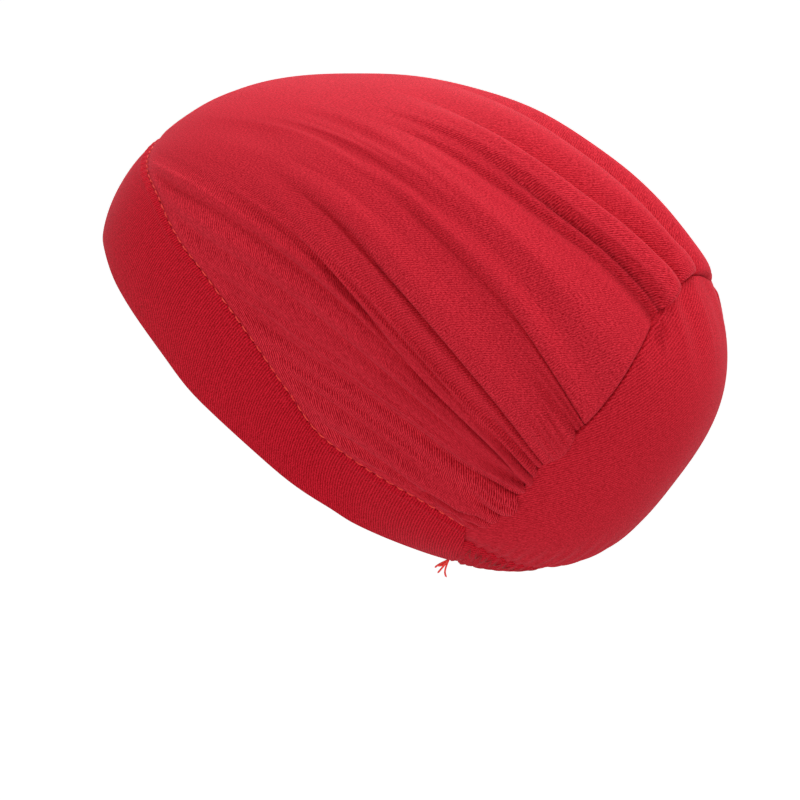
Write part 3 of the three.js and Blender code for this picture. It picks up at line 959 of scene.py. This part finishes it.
def strip_grid(columns, levels, top, bottom, from_top, to_bottom):
    """Places, shares, lengths and directions of a strip of cloth between two seams. It
    starts from_top mm below the first seam and stops to_bottom mm above the second."""
    across, along = np.meshgrid(np.linspace(-1, 1, columns + 1), levels, indexing="ij")
    half = np.abs(across)
    start, end = top(half), bottom(half)
    length = seam_span(start, end)
    share = from_top / length + (1 - (from_top + to_bottom) / length) * along
    return across, share, length, mirror_right(between(start, end, share), across)


def end_tuck(across):
    """How far the last columns reach under the band, and how deep they lie there."""
    near = smoothstep(np.abs(across), *TUCK_REACH)
    return END_TUCK * near * np.sign(across), -TUCK_DEPTH * smoothstep(np.abs(across), *TUCK_SINK)


def double_skins(direction, lift, cloth, to_fold, tuck=0.0):
    """Both skins of cloth that is folded double, as thick as cloth away from its fold."""
    thickness = cloth * quarter_round(to_fold, cloth / 2)
    outer = lay(direction, lift - (cloth - thickness) / 2, tuck)
    return outer, lay(direction, lift - (cloth + thickness) / 2, tuck)[::2, ::2]


def flat_place(base):
    """Places on the flat cloth in mm, measured from the middle column and the first row."""
    across_mm = grid_steps(base, 0)
    across_mm -= across_mm[len(across_mm) // 2]
    return np.stack([across_mm, grid_steps(base, 1)], -1)


pouch_span = seam_span(gathered_seam(0), casing_seam(0))
print("straight from the gathered seam to the casing, mm:", pouch_span.round(1))


# %% [markdown]
# ## Back panel
# Below the gathered seam a plain panel hangs as a soft pouch. It has only shallow puckers
# that fan out from the thick pleats above it, and small gathers over the casing. A cloth
# simulation could hang it, but the form already has the pouch's outline from the photo. Its
# top edge runs on under the crown as a seam allowance, so no light shows through the seam.

# %% Back panel cloth
BACK_COLUMNS = 320
BACK_ROWS = 120
BACK_CROWD = 1.5
BACK_CLOTH = 1.2
ALLOWANCE = 2.6  # mm that the panel runs on under the crown, and how deep it dips there
ALLOWANCE_DIP = 1.6
BACK_ROW_SHARE = 0.12
# A pucker's place over the cloth and half width, its mm of height and its share of the run
Pucker = namedtuple("Pucker", "across spread height reach")
BACK_PUCKERS = [
    Pucker(0, 0.07, 0.9, 0.35),
    Pucker(0.075, 0.035, -0.7, 0.30),
    Pucker(0.125, 0.030, 0.8, 0.28),
    Pucker(0.187, 0.008, -1.6, 0.10),
    Pucker(0.201, 0.011, 2.1, 0.13),
    Pucker(0.226, 0.018, -0.8, 0.12),
    Pucker(0.290, 0.050, 0.5, 0.22),
    Pucker(0.66, 0.050, -0.5, 0.20),
    Pucker(0.80, 0.050, 0.6, 0.22),
]
RIGHT_PUCKERS = 0.4  # the right half's puckers are this much of the left half's
PUCKER_RISE = (0, 4)  # mm from the gathered seam
NAPE_RUCHES = 22  # along the casing, and over it on the panel
RUCHE_HEIGHT = 0.5
NAPE_DRAW = 0.35  # the share of the panel's run that the casing draws in
BACK_SLACK = 0.35
BACK_SLACK_STEP = 26.0  # mm over which the slack changes
BACK_SLACK_RISE = (4, 30)  # mm from the gathered seam
BACK_HALF_WIDTH = 95  # mm, roughly, which makes the slack about even


def round_place(direction):
    """Places in mm round the back and up from the form's centre, for cloth without a grain
    along its seams."""
    turn = np.arctan2(direction[..., 0], direction[..., 1])
    rise = np.arcsin(direction[..., 2])
    radius = form_radius(direction)
    return np.stack([radius * np.cos(rise) * turn, radius * rise], -1)


levels = np.linspace(0, 1, BACK_ROWS + 1) ** BACK_CROWD
across, share, length, direction = strip_grid(
    BACK_COLUMNS, levels, gathered_seam, casing_seam, -ALLOWANCE, SEAM_GAP / 2)
half = np.abs(across)
below = share * length
lift = seam_sink(length - below) - REAR_DEPTH * (1 - quarter_round(np.maximum(below, 0), EDGE_TURN))
lift -= ALLOWANCE_DIP * smoothstep(-below, -0.8, ALLOWANCE)
for row in BACK_PUCKERS:
    left = smoothstep(below, *PUCKER_RISE) * (1 - smoothstep(share, 0, row.reach))
    size = row.height * np.where(across < 0, RIGHT_PUCKERS, 1)
    lift += size * left * round_bump(half - row.across, row.spread)
drawn = smoothstep(share, 1 - NAPE_DRAW, 1)
lift += RUCHE_HEIGHT * drawn * np.cos(pi * NAPE_RUCHES * across)
slack = wander(across * BACK_HALF_WIDTH + 0.4 * below, BACK_SLACK_STEP, 12)
lift += BACK_SLACK * slack * smoothstep(below, *BACK_SLACK_RISE) * (1 - drawn)
tuck, tuck_depth = end_tuck(across)
lift += tuck_depth
outer = lay(direction, lift, tuck)
inner = single_inner(direction, lift, BACK_CLOTH)
back = cloth_object("back_cloth", outer, inner, round_place(direction), BACK_ROW_SHARE)
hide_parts("back_panel")


# %% [markdown]
# ## Brow band
# The band is jersey folded double, so its lower edge is a soft round fold and its upper
# edge lies in the seam. A flat strip with a solidify modifier would have square edges, so
# both skins are worked out. A small ridge beside the seam is the sewn allowance inside. At
# the front the stitches draw the cloth into a row of tiny scallops.

# %% Band cloth
BAND_COLUMNS = 640
BAND_ROWS = 48
BAND_CLOTH = 2.2
PILLOW = 0.8  # mm that the middle of folded cloth swells
EDGE_ROUNDNESS = 0.5  # below 1 for a full edge and a flat middle
SEAM_SHARPNESS = 8  # the higher, the closer to the seam the cloth sinks
BAND_SINK = 0.45
RIDGE_HEIGHT = 0.45
RIDGE_PLACE = 2.4  # mm from the seam, and half the ridge's width
RIDGE_SPREAD = 1.8
SCALLOP = 0.35
SCALLOP_FADE = (0.5, 4.5)  # mm from the seam
FRONT_SPAN = (0.15, 0.35)
SIDE_SCALLOP = 0.25  # how much of the scallops is left past the front
BAND_SLACK = 0.2
BAND_SLACK_STEP = 32.0
BAND_ROW_SHARE = 0.18

levels = (1 - np.cos(pi * np.linspace(0, 1, BAND_ROWS + 1))) / 2
across, share, length, direction = strip_grid(
    BAND_COLUMNS, levels, lower_edge, band_seam, 0.0, SEAM_GAP / 2)
half = np.abs(across)
from_fold = share * length
to_seam = length - from_fold
lift = PILLOW * np.sin(pi * share) ** EDGE_ROUNDNESS - BAND_SINK * share**SEAM_SHARPNESS
lift += RIDGE_HEIGHT * round_bump(to_seam - RIDGE_PLACE, RIDGE_SPREAD)
scallops = 1 - np.abs(np.sin(pi * half * front_half / SEAM_PUCKER))
at_front = 1 - (1 - SIDE_SCALLOP) * smoothstep(half, *FRONT_SPAN)
lift -= SCALLOP * scallops * at_front * (1 - smoothstep(to_seam, *SCALLOP_FADE))
lift += BAND_SLACK * wander(half * front_half, BAND_SLACK_STEP, 15) * np.sin(pi * share)
outer, inner = double_skins(direction, lift, BAND_CLOTH, from_fold)
band = cloth_object("band_cloth", outer, inner, flat_place(form_point(direction)), BAND_ROW_SHARE)
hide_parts("brow_band")


# %% [markdown]
# ## Nape casing
# A short elastic runs in a turned hem at the nape and draws it into small ruches. They
# could be sculpted one by one, but they are so even that two cosines over the places along
# the hem give them. A random curve bends the finer one, so that no two ruches are alike.

# %% Casing cloth
CASING_COLUMNS = 480
CASING_ROWS = 24
CASING_CLOTH = 2.4
FINE_RUCHES = 3.1  # to each of the main ones
FINE_RUCHE_HEIGHT = 0.25


def casing_lift(across, share):
    ruche = RUCHE_HEIGHT * np.cos(pi * NAPE_RUCHES * across)
    bent = 2 * wander(across * 40, 3.0, 17)
    fine = FINE_RUCHE_HEIGHT * np.cos(pi * FINE_RUCHES * NAPE_RUCHES * across + bent)
    pillow = PILLOW * np.sin(pi * np.clip(share, 0, 1))
    return pillow + ruche + fine * share - SEAM_SINK * (1 - share) ** SEAM_SHARPNESS


across, share, length, direction = strip_grid(
    CASING_COLUMNS, np.linspace(0, 1, CASING_ROWS + 1), casing_seam, nape_edge, SEAM_GAP / 2, 0.0)
tuck, tuck_depth = end_tuck(across)
lift = casing_lift(across, share) + tuck_depth
outer, inner = double_skins(direction, lift, CASING_CLOTH, (1 - share) * length, tuck)
casing_place = flat_place(form_point(direction))
casing = cloth_object("casing_cloth", outer, inner, casing_place, BAND_ROW_SHARE)
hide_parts("nape_casing")


# %% [markdown]
# ## Sewing thread
# Topstitching holds the allowance down beside the band seam. A texture could paint the
# stitches, but real little rods catch the light as thread does. Each stitch is one rod that
# arches out of the cloth and dives back at both ends, and all of them make one piece.

# %% Seam stitches
THREAD_SIDES = 8
STITCH_PITCH = SEAM_PUCKER  # each stitch draws one pucker
STITCH_RADIUS = 0.27
STITCH_HALF = (1.25, 1.75)  # mm, half the length of the shortest and the longest
STITCH_OFFSET = 0.4  # mm from the seam towards the crown
STITCH_LIFT = -0.55
FRONT_SINK = 0.25  # mm that the stitches at the front lie deeper
STITCH_STRAY = 0.15  # mm by which a stitch's ends stray from their line
# By share of a stitch's length: how far it arches, in mm, and its share of the full radius
STITCH_SHARES = np.array([0, 0.08, 0.3, 0.5, 0.7, 0.92, 1])
STITCH_ARCH = np.array([-0.35, -0.1, 0.06, 0.1, 0.06, -0.1, -0.35])
STITCH_WIDTHS = np.array([0.3, 0.8, 1, 1, 1, 0.8, 0.3])
rng = np.random.default_rng(31)


def rod(path, radii):
    """Points and faces of a thread along a path, closed at both ends."""
    path = np.asarray(path)
    way = unit(np.gradient(path, axis=0))
    side = unit(np.cross(way, [0.37, 0.12, 0.92]))
    other = np.cross(way, side)
    angle = np.linspace(0, 2 * pi, THREAD_SIDES, endpoint=False)[None, :, None]
    ring = np.cos(angle) * side[:, None] + np.sin(angle) * other[:, None]
    points = path[:, None] + ring * np.asarray(radii)[:, None, None]
    faces = []
    for k in range(len(path) - 1):
        for a in range(THREAD_SIDES):
            b = (a + 1) % THREAD_SIDES
            low, high = k * THREAD_SIDES, (k + 1) * THREAD_SIDES
            faces.append([low + a, low + b, high + b, high + a])
    last = (len(path) - 1) * THREAD_SIDES
    faces.append(list(range(THREAD_SIDES))[::-1])
    faces.append([last + a for a in range(THREAD_SIDES)])
    return points.reshape(-1, 3), faces


def stitch(start, end, normal, radius):
    path = start + (end - start) * STITCH_SHARES[:, None] + normal * STITCH_ARCH[:, None]
    return rod(path, radius * STITCH_WIDTHS)


def thread_object(name, rods):
    points, faces, count = [], [], 0
    for rod_points, rod_faces in rods:
        points.append(rod_points)
        faces += [[count + corner for corner in face] for face in rod_faces]
        count += len(rod_points)
    piece = mesh_piece(name, np.concatenate(points), faces)
    print(name, "has", len(rods), "lengths of thread")
    return piece


seam_rods = []
stitch_count = int(2 * front_half / STITCH_PITCH)
for k in range(stitch_count):
    centre = (k + 0.5) / stitch_count * 2 - 1 + rng.uniform(-0.0006, 0.0006)
    reach = rng.uniform(*STITCH_HALF) / front_half
    places = np.array([centre - reach, centre + reach])
    line = form_point(mirror_right(band_seam(np.abs(places)), places))
    normal = form_normal(line)
    towards = unit(line[1] - line[0])
    to_crown = np.cross(normal[0], towards)
    at_front = 1 - smoothstep(abs(centre), 0.2, 0.3)
    sunk = STITCH_LIFT - FRONT_SINK * at_front + rng.uniform(-0.05, 0.05)
    sway = rng.uniform(-STITCH_STRAY, STITCH_STRAY, 2)
    ends = [line[i] + to_crown * (STITCH_OFFSET + sway[i]) + normal[i] * sunk for i in (0, 1)]
    seam_rods.append(stitch(ends[0], ends[1], normal[0], STITCH_RADIUS))
stitches = thread_object("seam_stitches", seam_rods)


# %% [markdown]
# ## Casing zigzag
# The elastic is held by a zigzag seam, which leaves the cloth free to stretch. One bent tube
# would be quicker, but real stitches dive in at each turn. So they are the same rods again,
# from side to side, laid on the surface that the casing's own function gives.

# %% Casing zigzag
ZIGZAG_PITCH = 2.7
ZIGZAG_SHARES = (0.12, 0.36)
ZIGZAG_END = 0.97
ZIGZAG_RADIUS = 0.2
ZIGZAG_LIFT = 0.12

zigzag_count = int(2 * half_length(casing_seam) * ZIGZAG_END / ZIGZAG_PITCH * 2)
places = np.linspace(-ZIGZAG_END, ZIGZAG_END, zigzag_count)
levels = np.where(np.arange(zigzag_count) % 2, *ZIGZAG_SHARES)
line = form_point(mirror_right(
    between(casing_seam(np.abs(places)), nape_edge(np.abs(places)), levels), places))
normal = form_normal(line)
line = line + normal * (casing_lift(places, levels) + ZIGZAG_LIFT)[:, None]
zigzag_rods = [stitch(line[k], line[k + 1], normal[k], ZIGZAG_RADIUS)
               for k in range(zigzag_count - 1)]
zigzag = thread_object("casing_zigzag", zigzag_rods)


# %% [markdown]
# ## Loose thread ends
# Where the stitching ends at the band's left end, a few strands are left loose. A hair system could
# grow them, but it is made for many, and its hairs aren't a mesh. Four rods with
# given tips and a slight random bend, each thinner at its tip, do.

# %% Loose thread ends
TAIL_RADIUS = 0.38
TAIL_THIN = 0.4  # the tip's radius as a share of it
TAIL_STEPS = 9
TAIL_ROOT = np.array([0.6, -1.2, 0.4])  # mm from the corner of the band's left end
# Each loose strand's tip from there, in mm: outwards, backwards and up
TAIL_TIPS = [(2.6, -4.6, -3.2), (2.0, -3.7, -5.4), (0.6, -0.6, -7.0), (2.4, -3.4, -2.4)]

band_corner = form_point(toward(*BAND_LOWER_EDGE[-1])[None])[0] + TAIL_ROOT
tail_rods = []
for tip in TAIL_TIPS:
    t = np.linspace(0, 1, TAIL_STEPS)[:, None]
    bend = np.array([rng.uniform(0.4, 1.1), rng.uniform(-0.8, 0.8), rng.uniform(-0.9, 0.3)])
    path = band_corner + np.array(tip) * t + bend * np.sin(pi * t)
    tail_rods.append(rod(path, TAIL_RADIUS * np.r_[np.ones(TAIL_STEPS - 1), TAIL_THIN]))
tail = thread_object("thread_tail", tail_rods)


# %% [markdown]
# ## Jersey
# The cloth is a fine red jersey: rows of stitches about a millimetre apart that wander and
# break up, and a heathered yarn of darker and lighter fibres. Both come from the place on
# the flat cloth, so the knit follows every fold, as it can't with a pattern in space. How
# much the rows show is kept at each point too, as the cloth is stretched unevenly. The knit
# also gives the bump. A weak sheen lets the fibres glow where the cloth turns away.

# %% Jersey material
ROW_SPACING = 1.05  # mm between rows of stitches
WAVE_RATE = 20  # a wave texture turns its coordinate into radians at this rate


def colour_and_bump(tree, shader, pattern, dark, light, bump_sockets):
    """Colours a shader between a dark and a light stop by a pattern, which also raises it."""
    ramp = two_colours(tree, dark, light)
    bump = tree.nodes.new("ShaderNodeBump")
    set_sockets(bump, bump_sockets)
    tree.links.new(pattern, ramp.inputs["Fac"])
    tree.links.new(ramp.outputs["Color"], shader.inputs["Base Color"])
    tree.links.new(pattern, bump.inputs["Height"])
    tree.links.new(bump.outputs["Normal"], shader.inputs["Normal"])


def jersey(name, dark, light, turn):
    """turn is the angle from the piece's own first seam to its rows, in degrees."""
    material, tree, shader = new_material(name)
    set_sockets(shader, {"Roughness": 0.75, "Specular IOR Level": 0.05})
    set_sockets(shader, {"Sheen Weight": 0.06, "Sheen Roughness": 0.4})
    set_sockets(shader, {"Sheen Tint": (1, 0.5, 0.65, 1)})
    place = tree.nodes.new("ShaderNodeAttribute")
    place.attribute_name = "knit_place"
    split = tree.nodes.new("ShaderNodeSeparateXYZ")
    turned = tree.nodes.new("ShaderNodeMapping")
    set_sockets(turned, {"Rotation": (0, 0, radians(turn))})
    ribs = tree.nodes.new("ShaderNodeTexWave")
    ribs.bands_direction = "Y"
    set_sockets(ribs, {"Scale": 2 * pi / WAVE_RATE / ROW_SPACING, "Distortion": 2.6})
    set_sockets(ribs, {"Detail": 2, "Detail Scale": 3.0})
    stretched = tree.nodes.new("ShaderNodeMapping")
    set_sockets(stretched, {"Scale": (1.7, 2.8, 1)})
    heather = tree.nodes.new("ShaderNodeTexNoise")
    set_sockets(heather, {"Scale": 1.0, "Detail": 3, "Roughness": 0.8})
    mixed = tree.nodes.new("ShaderNodeMix")
    for start, socket, node, target in (
        (place, "Vector", split, "Vector"),
        (place, "Vector", turned, "Vector"),
        (turned, "Vector", ribs, "Vector"),
        (turned, "Vector", stretched, "Vector"),
        (stretched, "Vector", heather, "Vector"),
        (split, "Z", mixed, "Factor"),
        (heather, "Fac", mixed, "A"),
        (ribs, "Fac", mixed, "B"),
    ):
        tree.links.new(start.outputs[socket], node.inputs[target])
    colour_and_bump(tree, shader, mixed.outputs["Result"], (0.38, dark), (0.62, light),
                    {"Strength": 0.6, "Distance": 0.00025})
    return material


# The three copies are one red jersey. The crown's is lighter and pinker, a painted highlight for
# its top, which faces the light. The band's, which the casing shares, is darker and less pink,
# painted shade for their lower side, which turns away from it. The back panel's lies between.
crown.data.materials.append(jersey("crown_jersey", (0.30, 0.001, 0.007), (0.82, 0.036, 0.060), 0))
back.data.materials.append(jersey("back_jersey", (0.33, 0.002, 0.008), (0.75, 0.026, 0.047), 35))
band_jersey = jersey("band_jersey", (0.28, 0.001, 0.004), (0.73, 0.014, 0.035), 90)
for piece in (band, casing):
    piece.data.materials.append(band_jersey)
print("jerseys:", [piece.data.materials[0].name for piece in (crown, back, band, casing)])


# %% [markdown]
# ## Thread
# The topstitching is a smooth orange-red thread, and the zigzag a dark red one. A single
# colour would look like plastic wire, so fine noise stands for the twisted plies and shades
# and roughens them. It is taken in space, because a thread is too thin to need a grain.

# %% Thread material
PLY_NOISE = 1800  # spots to a metre, about


def thread(name, dark, light):
    material, tree, shader = new_material(name)
    set_sockets(shader, {"Roughness": 0.6, "Specular IOR Level": 0.3})
    place = tree.nodes.new("ShaderNodeTexCoord")
    plies = tree.nodes.new("ShaderNodeTexNoise")
    set_sockets(plies, {"Scale": PLY_NOISE})
    tree.links.new(place.outputs["Object"], plies.inputs["Vector"])
    colour_and_bump(tree, shader, plies.outputs["Fac"], (0.35, dark), (0.65, light),
                    {"Strength": 0.5, "Distance": 0.0001})
    return material


bright_thread = thread("bright_thread", (0.85, 0.03, 0.03), (1.0, 0.09, 0.07))
for piece in (stitches, tail):
    piece.data.materials.append(bright_thread)
zigzag.data.materials.append(thread("dark_thread", (0.30, 0.003, 0.006), (0.42, 0.008, 0.015)))
print("threads:", [piece.data.materials[0].name for piece in (stitches, tail, zigzag)])


# %% [markdown]
# ## Cut sizes
# Cloth that is gathered or hung keeps its area, so half of each piece's closed surface, its
# outer skin alone, is its flat size. A seamstress knows the
# sizes from the pattern, but no pattern is at hand here. First guesses came out too large for
# the crown and the back, so all the sizes are taken from the modelled skins and seams
# instead. They say how much cloth is modelled, and don't prove that the real cut is the same.
# The band is measured as it lies, folded double.


def outer_skin(piece):
    return sum(polygon.area for polygon in piece.data.polygons) / 2


for piece in (crown, back, band, casing):
    print(piece.name, "outer skin, square metres:", round(outer_skin(piece), 5))
